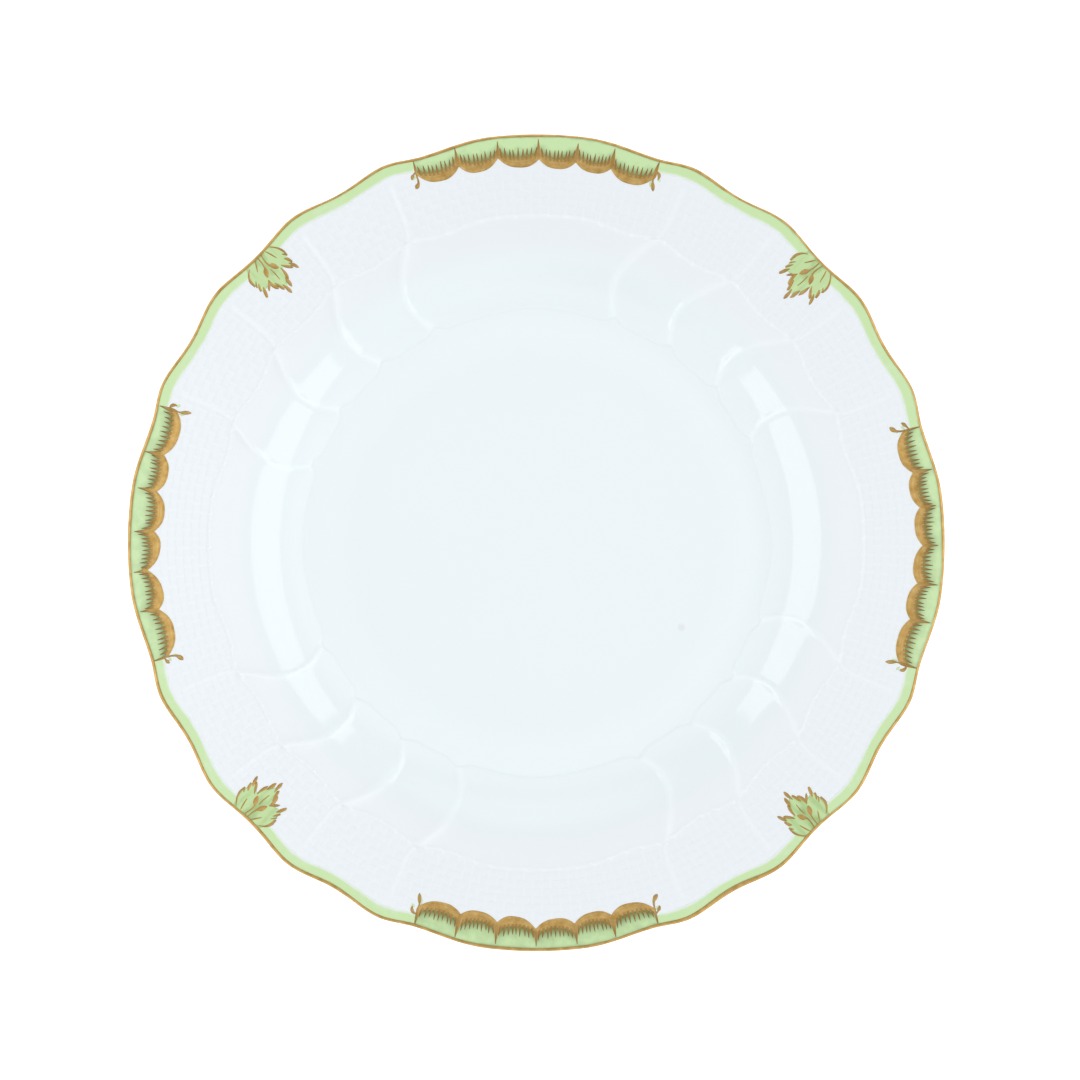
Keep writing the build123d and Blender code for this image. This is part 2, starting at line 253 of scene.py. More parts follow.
def rounded_line(corners, radii, step=0.25):
    """Points of a line whose inner corners are rounded to the given radii."""
    points = [np.array(corners[0], float)]
    for before, corner, after, radius in zip(corners, corners[1:], corners[2:], radii):
        corner = np.array(corner, float)
        back = np.subtract(before, corner)
        on = np.subtract(after, corner)
        back /= np.linalg.norm(back)
        on /= np.linalg.norm(on)
        half = math.acos(np.clip(back @ on, -1, 1)) / 2
        middle = (back + on) / np.linalg.norm(back + on)
        centre = corner + middle * radius / math.sin(half)
        first = corner + back * radius / math.tan(half) - centre
        last = corner + on * radius / math.tan(half) - centre
        turn = math.pi - 2 * half
        count = max(4, math.ceil(turn * radius / step))
        for k in range(count + 1):
            share = k / count
            weights = (math.sin((1 - share) * turn), math.sin(share * turn))
            points.append(centre + (weights[0] * first + weights[1] * last) / math.sin(turn))
    points.append(np.array(corners[-1], float))
    return np.array(points)


# ---------------------------------------------------------------- the glazed surface
def flange_height(radius):
    return WALL_HEAD[1] + (radius - WALL_HEAD[0]) * math.tan(FLANGE_ANGLE)


def under_height(radius):
    return UNDER_WALL_HEAD[1] + (radius - UNDER_WALL_HEAD[0]) * math.tan(UNDER_ANGLE)


TOP_LINE = rounded_line(
    [(0.0, WELL_TOP), (WALL_FOOT, WELL_TOP), WALL_HEAD, (BLANK_RADIUS, flange_height(BLANK_RADIUS))],
    [24.0, 30.0],
)


def plain_height(radius):
    """The glazed top without its relief."""
    return np.interp(radius, TOP_LINE[:, 0], TOP_LINE[:, 1])


def rim_share(angle):
    """The rim's radius at an angle, as a share of the largest."""
    return eased(np.abs(wrapped(angle + RIM_TURN, 90.0)), RIM_ANGLES, RIM_SHARES, RIM_LATENESS)


def rim_radius(angle):
    return RADIUS * rim_share(angle)


def border_radius(angle):
    """The beaded line, which echoes the rim."""
    return BORDER_RADIUS * (1 - BORDER_SWING * (1 - rim_share(angle - BORDER_TURN)))


def step_radius(angle):
    """The scalloped step round the well: a cusp at the end of each rib."""
    cusps = sum(hump(wrapped(angle - rib - RIB_LAG), 1.9) for rib in RIBS)
    arcs = hump(wrapped(angle, 90.0), 9.0)
    return STEP_RADIUS + 1.9 * cusps + arcs


def gold_line_width(angle):
    """How far in the gold line reaches: further where the brush lingered, and a little unsteadily."""
    drift = 0.06 * np.cos(np.radians(angle - 225))
    lingered = 0.50 * hump(wrapped(angle - 299), 9.0)
    unsteady = 0.06 * np.sin(np.radians(angle * 11 + 40)) + 0.04 * np.sin(np.radians(angle * 29))
    return GOLD_LINE + drift + lingered + unsteady


def painted_limit(angle):
    """The radius that enamel reaches, just under the gold line."""
    return rim_radius(angle) - gold_line_width(angle) + LINE_TUCK


def scallops(garland):
    """The scallops of a garland as (left cusp, right cusp, lowest radius)."""
    _, cusps, bottoms = garland
    return list(zip(cusps, cusps[1:], bottoms))


def scallop_edge(left, right, bottom, share):
    """The inner edge of a scallop at shares of its length: a shallow bowl between two cusps."""
    line = left[1] + (right[1] - left[1]) * share
    return line + (bottom - (left[1] + right[1]) / 2) * (1 - np.abs(2 * share - 1) ** 2.6)


def painted_over(radius, angle):
    """1 where thick gold or a leaf fills the weave, 0 elsewhere."""
    cover = np.zeros(np.shape(radius + angle))
    for garland in GARLANDS.values():
        along = -np.radians(wrapped(angle - garland[0])) * DRAWING_RADIUS
        edge = np.full(np.shape(along), 200.0)
        for left, right, bottom in scallops(garland):
            share = (along - left[0]) / (right[0] - left[0])
            edge = np.where((share >= 0) & (share <= 1), scallop_edge(left, right, bottom, share), edge)
        cover = np.maximum(cover, smooth((radius - edge) / 0.8))
    for centre, _ in LEAVES.values():
        along = np.radians(wrapped(angle - centre)) * DRAWING_RADIUS
        out = np.hypot(along / 7.0, (radius - 124.0) / 8.2)
        cover = np.maximum(cover, smooth((1.1 - out) / 0.25))
    return cover


def rib_distance(radius, angle):
    """How near a point is to a rib's crest, in millimetres."""
    swirl = np.polyval(RIB_SWIRL, radius)
    lean = np.radians(np.polyval(np.polyder(RIB_SWIRL), radius)) * radius
    turns = np.min([np.abs(wrapped(angle - rib - swirl)) for rib in RIBS], axis=0)
    return np.radians(turns) * radius / np.sqrt(1 + lean**2)


def weave(radius, angle):
    """Rows of weft that pass over one stake and under the next: the height and how far a stake is bared."""
    pads_round = round(360 / STAKE_PITCH / 2)
    row = np.clip(np.round((radius - FIRST_ROW) / ROW_PITCH), -2, LAST_ROW)
    up = (radius - FIRST_ROW) / ROW_PITCH - row
    stake = (angle - FIRST_STAKE) / STAKE_PITCH
    over = (stake - row % 2) / 2
    pad = np.round(over)
    chance = scatter(row, pad % pads_round)
    swell = np.clip(1 - np.abs(2 * (over - pad) * (1.03 + 0.08 * chance)) ** 3, 0.0, 1.0) ** 0.8
    section = np.clip(1 - np.abs(up / 0.5) ** 4, 0.0, 1.0)
    weft = (0.8 + 0.2 * chance) * (0.12 + 0.88 * swell) * (0.4 + 0.6 * section)
    off_stake = np.radians(wrapped(stake, 1.0) * STAKE_PITCH) * radius
    rod = 0.6 * np.sqrt(np.clip(1 - (off_stake / 0.5) ** 2, 0.0, 1.0))
    return np.maximum(weft, rod), smooth((rod - weft) / 0.25)


def relief(radius, angle):
    """The relief's height, and its tone: 1 on a thinly glazed ridge, a painted highlight, and -1 where glaze
    pools, with painted shade.
    """
    radius, angle = np.broadcast_arrays(np.asarray(radius, float), angle)
    out = radius - border_radius(angle)  # from the beaded line
    step = radius - step_radius(angle)  # from the step round the well
    bare = 1 - painted_over(radius, angle)

    # The ribs run from the step to the beaded line, and the wall is scooped out between them.
    crest = rib_distance(radius, angle)
    along = smooth((step - 0.1) / 1.2) * smooth((0.9 - out) / 1.2)
    ribs = along * np.exp(-((crest / RIB_WIDTH) ** 2.2))
    beside_rib = np.clip(1 - crest / SCOOP_REACH, 0.0, 1.0) ** 2.5 * smooth(step / 4.0)
    beside_border = 0.6 * np.exp(np.minimum(out, 0.0) / 1.8)
    scoop_rim = np.maximum(beside_rib, beside_border) * smooth(0.5 - out)
    height = RIB_HEIGHT * ribs + SCOOP_DEPTH * scoop_rim

    # The step, whose height dies away up the wall, has a fine groove at its foot.
    wall = (101.0 - radius) / 22.0
    height += STEP_HEIGHT * (smooth(step / 1.3 + 0.3) * smooth(wall) + 0.5 * smooth(1 - wall) - 0.5)
    groove = hump(step, 0.42)
    height -= GROOVE_DEPTH * groove

    # Slanting beads on a fine rope.
    aside = np.radians(wrapped(angle - FIRST_BEAD, 2 * STAKE_PITCH)) * radius
    bead = hump(aside + out, 1.13) * hump(aside - out, 0.64)
    rope = hump(out, 0.5)
    height += ROPE_HEIGHT * rope + BEAD_HEIGHT * bead

    # Each rib's faint spoke across the weave, which straightens as it leaves the beaded line.
    drift = SPOKE_DRIFT * (np.exp(-np.maximum(radius - 106.8, 0.0) / 2.2) - 1)
    across = np.radians(wrapped(angle - FIRST_RIB - drift, RIB_PITCH)) * radius
    lobes = (np.abs(wrapped(angle, 90.0)) > 17.0) * smooth(out / 1.2) * smooth((127.0 - radius) / 2.0)
    spoke = lobes * hump(across, 0.55) * bare

    basket, bared = weave(radius, angle)
    border = smooth((out - 0.2) / 0.6)
    woven = border * smooth((WEAVE_FADE[1] - radius) / (WEAVE_FADE[1] - WEAVE_FADE[0])) * bare
    height += WEAVE_HEIGHT * woven * (basket * (1 - spoke) + spoke) + SPOKE_HEIGHT * spoke
    height -= BORDER_DEPTH * border

    # Painted highlight on ridges, beads, rope, spokes and bared stakes, and painted shade in the groove and
    # between the pads, over real glaze pooling.
    light = np.maximum.reduce([0.75 * ribs, 0.8 * spoke, 0.6 * rope + 0.9 * bead, 0.45 * bared * woven])
    dark = np.maximum(0.5 * groove, 0.5 * woven * (1 - basket) * (1 - spoke))
    return height, light - dark


def glazed_height(radius, angle):
    """The glazed top with all its relief."""
    return plain_height(radius) + relief(radius, angle)[0]


# ---------------------------------------------------------------- meshes
def place(radius, angle, height):
    """Points in space from cylindrical coordinates."""
    turn = np.radians(angle)
    return np.stack(np.broadcast_arrays(radius * np.cos(turn), radius * np.sin(turn), height), axis=-1)


def new_object(name, data):
    """An object in the scene, made of the given data."""
    made = bpy.data.objects.new(name, data)
    bpy.context.scene.collection.objects.link(made)
    return made


def new_piece(name, points, faces, material, nodes, tones=None):
    """A mesh object that rides on the plate and stands for the given CAD nodes."""
    mesh = bpy.data.meshes.new(name)
    mesh.from_pydata((points * MM).tolist(), [], faces)
    mesh.shade_smooth()
    if tones is not None:
        layer = mesh.attributes.new("tone", "FLOAT", "POINT")
        layer.data.foreach_set("value", tones.astype(np.float32))
    mesh.materials.append(material)
    piece = new_object(name, mesh)
    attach(piece, "root")
    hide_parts(*nodes)
    return piece


def turned(rings, poles):
    """Points and faces of a closed form made of rings, capped at both ends or joined end to end."""
    count = len(rings[0])
    points = np.concatenate(rings)
    here = np.arange(count)
    on = np.roll(here, -1)
    pairs = [(k, k + 1) for k in range(len(rings) - 1)] + ([] if poles else [(len(rings) - 1, 0)])
    near = [[a * count + here, b * count + here, b * count + on, a * count + on] for a, b in pairs]
    faces = np.concatenate([np.stack(quad, 1) for quad in near]).tolist()
    if poles:
        first, last = len(points), len(points) + 1
        points = np.vstack([points, rings[0].mean(0), rings[-1].mean(0)])
        faces += np.stack([np.full(count, first), here, on], 1).tolist()
        end = (len(rings) - 1) * count
        faces += np.stack([np.full(count, last), end + on, end + here], 1).tolist()
    return points, faces


def mark_corners(piece, rings, count):
    """Keeps the surface's own normals along the given rings, where a hidden wall begins."""
    sharp = np.zeros(len(piece.data.edges), bool)
    ends = np.zeros(len(piece.data.edges) * 2, np.int64)
    piece.data.edges.foreach_get("vertices", ends)
    ends = ends.reshape(-1, 2)
    for ring in rings:
        sharp |= ((ends >= ring * count) & (ends < (ring + 1) * count)).all(1)
    layer = piece.data.attributes.new("sharp_edge", "BOOLEAN", "EDGE")
    layer.data.foreach_set("value", sharp)


class Layer:
    """A thin painted layer, built up from slabs that lie on the glaze."""

    def __init__(self):
        self.points, self.faces, self.tones, self.count = [], [], [], 0

    def add(self, angle, radius, lift, tone, closed=False):
        """A slab with a grid of points for its top; a closed one is made of rings, from the inside out."""
        angle, radius, lift, tone = np.broadcast_arrays(angle, radius, lift, tone)
        rows, columns = angle.shape
        glazed = glazed_height(radius, angle)
        index = np.arange(rows * columns).reshape(rows, columns) + self.count
        below = rows * columns
        grid = np.hstack([index, index[:, :1]]) if closed else index
        quads = np.stack([grid[:-1, :-1], grid[:-1, 1:], grid[1:, 1:], grid[1:, :-1]], -1).reshape(-1, 4)
        self.faces += quads.tolist() + (quads + below)[:, ::-1].tolist()
        if closed:
            rim = index[-1, ::-1]
            self.faces += [index[0, ::-1].tolist(), (index[0] + below).tolist()]
        else:
            rim = np.concatenate([index[0, :-1], index[:-1, -1], index[-1, :0:-1], index[:0:-1, 0]])
        on = np.roll(rim, -1)
        self.faces += np.stack([on, rim, rim + below, on + below], 1).tolist()
        self.points += [place(radius, angle, glazed + up).reshape(-1, 3) for up in (lift, SUNK)]
        self.tones += [tone.ravel()] * 2
        self.count += 2 * rows * columns

    def drawn(self, centre, side, along, radius, lift, tone, closed=False):
        """The same for a grid drawn flat about a centre line; side -1 mirrors it."""
        angle = centre - np.degrees(side * along / DRAWING_RADIUS)
        grid = np.broadcast_arrays(angle, radius, lift, tone)
        self.add(*(values[::side] for values in grid), closed)

    def stroke(self, centre, side, points, thick, tone, count):
        """One brush stroke through (along, radius, width) points, domed across and darker at its edges."""
        line = through(points, count)
        line[:, 2] = np.maximum(line[:, 2], FINEST_STROKE)
        way = np.gradient(line[:, :2], axis=0)
        way /= np.linalg.norm(way, axis=1)[:, None]
        across = np.linspace(-1, 1, 5)[:, None]
        along = line[:, 0] - across * way[:, 1] * line[:, 2] / 2
        radius = line[:, 1] + across * way[:, 0] * line[:, 2] / 2
        lift = thick * (1 - (1 - SHOULDER) * across**2)
        tone = tone + 0.3 * across**4 + 0.25 * np.clip(1.1 - line[:, 2], 0.0, 1.0)
        self.drawn(centre, side, along, radius, lift, np.minimum(tone, 1.0))

    def piece(self, name, material, slot):
        """The layer's piece, which stands for the CAD node of the same name."""
        points, tones = np.concatenate(self.points), np.concatenate(self.tones)
        new_piece(name, points, self.faces, material, [name], tones)


def edge_lift(shape, thick):
    """A lift for a slab that thins towards its edge."""
    lift = np.full(shape, thick)
    lift[[0, -1], :] = thick * SHOULDER
    lift[:, [0, -1]] = thick * SHOULDER
    return lift


# ---------------------------------------------------------------- materials
def add_node(tree, kind, inputs=None, **settings):
    """A node with its settings made and its inputs set or linked."""
    node = tree.nodes.new(kind)
    for key, value in settings.items():
        setattr(node, key, value)
    for key, value in (inputs or {}).items():
        if isinstance(value, bpy.types.NodeSocket):
            tree.links.new(value, node.inputs[key])
        else:
            node.inputs[key].default_value = value
    return node


def noise(tree, scale, detail=2.0):
    """Noise over the object, in features per metre."""
    where = add_node(tree, "ShaderNodeTexCoord")
    inputs = {"Vector": where.outputs["Object"], "Scale": scale, "Detail": detail}
    return add_node(tree, "ShaderNodeTexNoise", inputs).outputs["Fac"]


def ramp(tree, fac, stops):
    """A colour ramp through (position, colour) stops."""
    made = add_node(tree, "ShaderNodeValToRGB", {"Fac": fac})
    elements = made.color_ramp.elements
    while len(elements) < len(stops):
        elements.new(0.5)
    for element, (position, colour) in zip(elements, stops):
        element.position = position
        element.color = (*colour, 1.0)
    return made.outputs["Color"]


def mix(tree, fac, colour, plain):
    """A colour from a node mixed with a plain one."""
    return add_node(tree, "ShaderNodeMix", {0: fac, 6: colour, 7: (*plain, 1.0)}, data_type="RGBA").outputs[2]


def spread(tree, fac, low, high, start=0.0, end=1.0):
    """A value that runs from low to high while fac runs from start to end."""
    inputs = {"Value": fac, "From Min": start, "From Max": end, "To Min": low, "To Max": high}
    return add_node(tree, "ShaderNodeMapRange", inputs).outputs["Result"]


def toned(tree):
    """The tone that the mesh carries."""
    return add_node(tree, "ShaderNodeAttribute", attribute_name="tone").outputs["Fac"]


def combined(tree, a, b, operation, **settings):
    """The result of a math node."""
    return add_node(tree, "ShaderNodeMath", {0: a, 1: b}, operation=operation, **settings).outputs[0]


def new_material(name):
    """A material and its node tree."""
    material = bpy.data.materials.new(name)
    material.use_nodes = True
    return material, material.node_tree


def dress(tree, colour, roughness, grain):
    """Gives the shader a colour, a roughness from a noise and a fine bump from another."""
    scale, detail, low, high = roughness
    rough = spread(tree, noise(tree, scale, detail), low, high)
    scale, detail, strength, depth = grain
    inputs = {"Height": noise(tree, scale, detail), "Strength": strength, "Distance": depth}
    normal = add_node(tree, "ShaderNodeBump", inputs).outputs["Normal"]
    shader = tree.nodes["Principled BSDF"]
    for name, socket in (("Base Color", colour), ("Roughness", rough), ("Normal", normal)):
        tree.links.new(socket, shader.inputs[name])
    return shader


def glaze_material():
    """Clear glaze over white porcelain: bluish where it pools, with painted shade (tone -1), whiter where it
    is thin, with painted highlight (tone 1).
    """
    material, tree = new_material("clear_glaze_over_porcelain")
    clouds = spread(tree, noise(tree, 22.0, 3.0), -0.12, 0.12)
    # The tone paints highlight onto the relief's ridges and shade into its hollows.
    shade = spread(tree, combined(tree, toned(tree), clouds, "ADD"), 0.955, 1.045, -1.0, 1.0)
    where = add_node(tree, "ShaderNodeTexCoord").outputs["Object"]
    aside = add_node(tree, "ShaderNodeVectorMath", {0: where, 1: (1.0, 1.0, 0.0)}, operation="MULTIPLY")
    out = add_node(tree, "ShaderNodeVectorMath", {0: aside.outputs[0]}, operation="LENGTH").outputs["Value"]
    # Painted glow: the foot of the wall is painted brighter, against the shade that falls there.
    outward = spread(tree, out, 0.0, 1.0, 0.060, 0.100)
    stops = [(0.0, POOLED), (0.25, PAINTED_GLOW), (0.5, PAINTED_GLOW), (0.78, POOLED), (1.0, PORCELAIN)]
    plain = ramp(tree, outward, stops)
    body = add_node(tree, "ShaderNodeVectorMath", {0: plain, "Scale": shade}, operation="SCALE").outputs[0]
    cells = add_node(tree, "ShaderNodeTexVoronoi", {"Scale": 46.0})
    near = combined(tree, cells.outputs["Distance"], 0.010, "LESS_THAN")
    rare = combined(tree, cells.outputs["Color"], 0.86, "GREATER_THAN")
    speckled = mix(tree, combined(tree, near, rare, "MULTIPLY"), body, (0.45, 0.45, 0.42))
    away = add_node(tree, "ShaderNodeVectorMath", {0: where, 1: FIRING_SPOT}, operation="DISTANCE")
    spot = spread(tree, away.outputs["Value"], 1.0, 0.0, 0.0007, 0.0015)
    colour = mix(tree, spot, speckled, [0.93 * c for c in PORCELAIN])
    shader = dress(tree, colour, (90.0, 2.0, 0.05, 0.11), (260.0, 1.0, 0.12, 0.00004))
    shader.inputs["IOR"].default_value = 1.5
    return material


def biscuit_material():
    """Bare fired porcelain, faintly warm and quite matte."""
    material, tree = new_material("biscuit_porcelain")
    stops = [(0.35, (0.70, 0.675, 0.63)), (0.65, (0.80, 0.78, 0.74))]
    body = ramp(tree, noise(tree, 900.0, 4.0), stops)
    dress(tree, body, (1500.0, 2.0, 0.62, 0.82), (3000.0, 3.0, 0.5, 0.0001))
    return material


def enamel_material(name, deep, full, thin):
    """Enamel whose tone runs from thin paint (0) over full (0.5) to the dark ground of the teeth (1)."""
    material, tree = new_material(name)
    cloudy = spread(tree, noise(tree, 320.0, 3.0), -0.13, 0.13)
    brushed = combined(tree, toned(tree), cloudy, "ADD", use_clamp=True)
    colour = ramp(tree, brushed, [(0.0, thin), (0.40, full), (0.52, full), (1.0, deep)])
    dress(tree, colour, (500.0, 2.0, 0.10, 0.22), (700.0, 2.0, 0.25, 0.0001))
    return material


def gold_material():
    """Burnished gold; tone runs from bare gold (0) to the brown-shaded brush tips (1)."""
    material, tree = new_material("burnished_gilding")
    stops = [(0.3, (0.49, 0.29, 0.078)), (0.5, (0.62, 0.395, 0.125)), (0.72, (0.72, 0.485, 0.185))]
    streaked = ramp(tree, noise(tree, 420.0, 4.0), stops)
    shaded = mix(tree, toned(tree), streaked, (0.21, 0.125, 0.04))
    shader = dress(tree, shaded, (650.0, 3.0, 0.34, 0.52), (1300.0, 3.0, 0.35, 0.0001))
    shader.inputs["Metallic"].default_value = 0.85
    return material


def floor_material():
    """A plain pale floor that glows a little, as a lit backdrop does."""
    material, tree = new_material("pale_floor")
    shader = tree.nodes["Principled BSDF"]
    colour = ramp(tree, noise(tree, 1.5), [(0.4, (0.80, 0.80, 0.80)), (0.6, (0.82, 0.82, 0.82))])
    tree.links.new(colour, shader.inputs["Base Color"])
    shader.inputs["Roughness"].default_value = 0.9
    shader.inputs["Specular IOR Level"].default_value = 0.1
    shader.inputs["Emission Color"].default_value = (1.0, 1.0, 1.0, 1.0)
    shader.inputs["Emission Strength"].default_value = 0.5
    return material


# ---------------------------------------------------------------- the porcelain
def mesh_angles():
    """Six columns to each stake, closest together on the stake itself."""
    steps = np.array([0.0, 0.17, 0.36, 0.75, 1.14, 1.33])
    stakes = FIRST_STAKE + STAKE_PITCH * np.arange(round(360 / STAKE_PITCH))
    return (stakes[:, None] + steps).ravel()


def glazed_rings(rings, angle):
    """Points and tones of rings that lie on the glazed top."""
    points, tones = [], []
    for ring in rings:
        height, tone = relief(ring, angle)
        points.append(place(ring, angle, plain_height(ring) + height))
        tones.append(tone)
    return points, tones


def rings_between(start, end, shares):
    """Rings at shares of the way from one ring to another."""
    return [start + (end - start) * share for share in shares]


def edge_underside(radius):
    """The height of the edge's round, where its lower half begins."""
    return under_height(radius - 0.67) + EDGE_ROUNDING * math.cos(UNDER_ANGLE)


def well_and_wall(material):
    """The glaze from the middle of the well to just inside the beaded line."""
    angle = mesh_angles()
    seam = border_radius(angle) - SEAM
    step = step_radius(angle)
    rings = [np.full_like(angle, r) for r in (3.0, 14.0, 28.0, 42.0, 54.0, 64.0, 70.0, 73.0)]
    rings += [step + out for out in (-1.6, -0.9, -0.55, -0.3, -0.1, 0.1, 0.3, 0.55, 0.9, 1.5)]
    rings += rings_between(rings[-1], WALL_RINGS[0], (0.25, 0.5, 0.75))
    rings += [np.full_like(angle, r) for r in np.arange(*WALL_RINGS)]
    rings += rings_between(rings[-1], seam, (0.25, 0.5, 0.75, 1.0))
    outer, tones = glazed_rings(rings, angle)
    inner = [place(seam, angle, plain_height(seam) - GLAZE)]
    for r in (100.0, 96.0, 93.0, 90.0, 86.0, 82.0, 78.0, 74.0, 66.0, 3.0):
        inner.append(place(r, angle, plain_height(r) - GLAZE))
    points, faces = turned(outer + inner, poles=True)
    tones = np.concatenate([*tones, np.zeros(len(points) - len(outer) * len(angle))])
    piece = new_piece("glazed_well_and_wall", points, faces, material, ["glaze_coat"], tones)
    mark_corners(piece, (len(outer) - 1, len(outer)), len(angle))


def woven_border(material):
    """The glaze of the flange, from inside the beaded line out over the rounded edge."""
    angle = mesh_angles()
    line = border_radius(angle)
    rim = rim_radius(angle)
    rings = [line + out for out in (-SEAM, -0.9, -0.5, -0.2, 0.1, 0.45, 0.85)]
    row_steps = (-ROW_PITCH / 2, -1.08, -0.72, 0.0, 0.72, 1.08)
    rows = [FIRST_ROW + ROW_PITCH * row + step for row in range(LAST_ROW) for step in row_steps][2:]
    rings += rings_between(rings[-1], rows[0], (0.2, 0.4, 0.6, 0.8))
    rings += [np.full_like(angle, r) for r in rows]
    normal = math.pi / 2 + FLANGE_ANGLE
    shoulder = rim - EDGE_ROUNDING * (1 - math.cos(normal))
    last = FIRST_ROW + ROW_PITCH * (LAST_ROW - 0.5)
    rings += rings_between(last, shoulder, np.linspace(0.0, 1.0, 9))
    outer, tones = glazed_rings(rings, angle)
    top = glazed_height(shoulder, angle) - EDGE_ROUNDING * math.sin(normal)
    for turn in np.linspace(normal, 0.0, 6)[1:]:
        out = rim - EDGE_ROUNDING * (1 - math.cos(turn))
        outer.append(place(out, angle, top + EDGE_ROUNDING * math.sin(turn)))
    foot = edge_underside(rim)
    outer.append(place(rim, angle, foot))
    inner = [
        place(rim - GLAZE, angle, foot),
        place(rim - GLAZE, angle, top),
        place(shoulder, angle, plain_height(shoulder) - 0.35),
        place(rings[0], angle, plain_height(rings[0]) - GLAZE),
    ]
    points, faces = turned(outer + inner, poles=False)
    tones = np.concatenate([*tones, np.zeros(len(points) - len(tones) * len(angle))])
    piece = new_piece("woven_border", points, faces, material, ["glaze_coat"], tones)
    mark_corners(piece, (0, len(outer) - 1, len(outer), len(outer) + 3), len(angle))


def glazed_back(material):
    """The glaze of the underside, from the edge in to the bare strip of the foot ring."""
    angle = np.arange(0.0, 360.0, 0.5)
    rim = rim_radius(angle)
    foot = edge_underside(rim)
    outer, inner = [], []
    for turn in np.linspace(0.0, UNDER_ANGLE - math.pi / 2, 5):
        out, down = math.cos(turn), math.sin(turn)
        outer.append(place(rim - EDGE_ROUNDING * (1 - out), angle, foot + EDGE_ROUNDING * down))
        less = EDGE_ROUNDING - GLAZE
        inner.append(place(rim - EDGE_ROUNDING + less * out, angle, foot + less * down))
    corners = [
        (125.0, under_height(125.0)),
        UNDER_WALL_HEAD,
        FOOT_ROOT,
        (FOOT_OUTSIDE, 0.0),
        (BARE_STRIP_OUTSIDE, 0.0),
    ]
    line = rounded_line(corners, [28.0, 1.5, 0.9], step=0.9)
    way = np.gradient(line, axis=0)
    up = np.stack([way[:, 1], -way[:, 0]], 1) / np.linalg.norm(way, axis=1)[:, None]
    up[-1] = (0.0, 1.0)
    for rings, points in ((outer, line), (inner, line + GLAZE * up)):
        rings += [place(r, angle, z) for r, z in points]
    points, faces = turned(outer + inner[::-1], poles=False)
    piece = new_piece("glazed_back", points, faces, material, ["glaze_coat"])
    mark_corners(piece, (0, len(outer) - 1, len(outer), 2 * len(outer) - 1), len(angle))


def gold_edge(material):
    """The gold line, which wraps the rounded edge."""
    angle = np.arange(0.0, 360.0, 0.25)
    rim = rim_radius(angle)
    width = gold_line_width(angle)
    shoulder = EDGE_ROUNDING * (1 + math.sin(FLANGE_ANGLE))
    slope = math.tan(FLANGE_ANGLE)
    top = glazed_height(rim - shoulder, angle) - EDGE_ROUNDING * math.cos(FLANGE_ANGLE)
    foot = edge_underside(rim)
    outer, inner, tones = [], [], []

    def add_ring(bend, beyond, height, thick, tone):
        """A ring at an angle round the edge's rounding, or beyond it on the flange."""
        for rings, grow in ((outer, thick), (inner, SUNK)):
            reach = EDGE_ROUNDING + grow
            out = rim - EDGE_ROUNDING + reach * np.cos(bend) - beyond
            rings.append(place(out, angle, height + reach * np.sin(bend) - beyond * slope))
        tones.append(np.full_like(angle, tone))

    # From the line's inner edge, which is thin and dark, out over the top.
    over_top = [(1.0, 0.05, 0.75), (0.9, 0.08, 0.5)]
    over_top += [(share, 0.08, 0.28) for share in (0.75, 0.6, 0.45, 0.3, 0.15, 0.05, 0.0)]
    for share, thick, tone in over_top:
        out = width * share
        bend = np.arccos(1 - np.minimum(out, shoulder) / EDGE_ROUNDING)
        add_ring(bend, np.maximum(out - shoulder, 0.0), top, thick, tone)
    for share in np.linspace(0.0, 1.0, 5):
        add_ring(-LINE_UNDER * share, 0.0, foot, 0.02 if share == 1.0 else 0.07, 0.25)
    points, faces = turned(outer + inner[::-1], poles=False)
    tones = np.concatenate(tones + tones[::-1])
    new_piece("gold_edge_line", points, faces, material, ["gold_edge_line"], tones)


# ---------------------------------------------------------------- the painting
def teeth_roots(bottom, share):
    """Where the teeth of a scallop spring from."""
    return bottom + GOLD_DEPTH + 2.0 * np.abs(2 * share - 1) ** 2.4


def gold_scallop(gilding, centre, scallop, rng):
    """The gold of one scallop: domed, streaked along its length and darker at its inner edge."""
    left, right, bottom = scallop
    share = np.linspace(0.0, 1.0, 40)
    along = left[0] + (right[0] - left[0]) * share
    low = scallop_edge(left, right, bottom, share)
    high = teeth_roots(bottom, share) + TEETH_OVERLAP
    rise = np.linspace(0.0, 1.0, 11)[:, None]
    lift = GOLD_LIFT * (SHOULDER + (1 - SHOULDER) * np.sin(np.pi * np.clip(rise, 0.06, 0.94)) ** 0.6)
    streak = rng.uniform(-1.0, 1.0, 11)[:, None] * np.sin(np.pi * share) ** 0.5
    tone = 0.13 + 0.18 * rise**2 + 0.3 * hump(rise, 0.08) + 0.12 * streak
    gilding.drawn(centre, 1, along, low + (high - low) * rise, lift, tone)


def gold_comb(gilding, centre, scallop, rng):
    """The comb of teeth of one scallop, fanned out and longest in the middle."""
    left, right, bottom = scallop
    pitch = (right[0] - left[0]) / TEETH
    for tooth in range(1, TEETH):
        at = left[0] + tooth * pitch + rng.uniform(-0.12, 0.12)
        root = teeth_roots(bottom, tooth / TEETH)
        aside = 2 * tooth / TEETH - 1
        reach = rng.uniform(2.9, 3.7) - 0.5 * abs(aside)
        lean = rng.uniform(-0.15, 0.15) + 0.25 * aside
        points = [
            (at, root - 0.5, 1.35),
            (at + 0.3 * lean, root + 0.3, 1.15),
            (at + lean, root + 0.55 * reach, 0.68),
            (at + 1.6 * lean, root + reach, 0.16),
        ]
        gilding.stroke(centre, 1, points, TOOTH_LIFT, np.linspace(0.5, 0.85, 9), count=9)


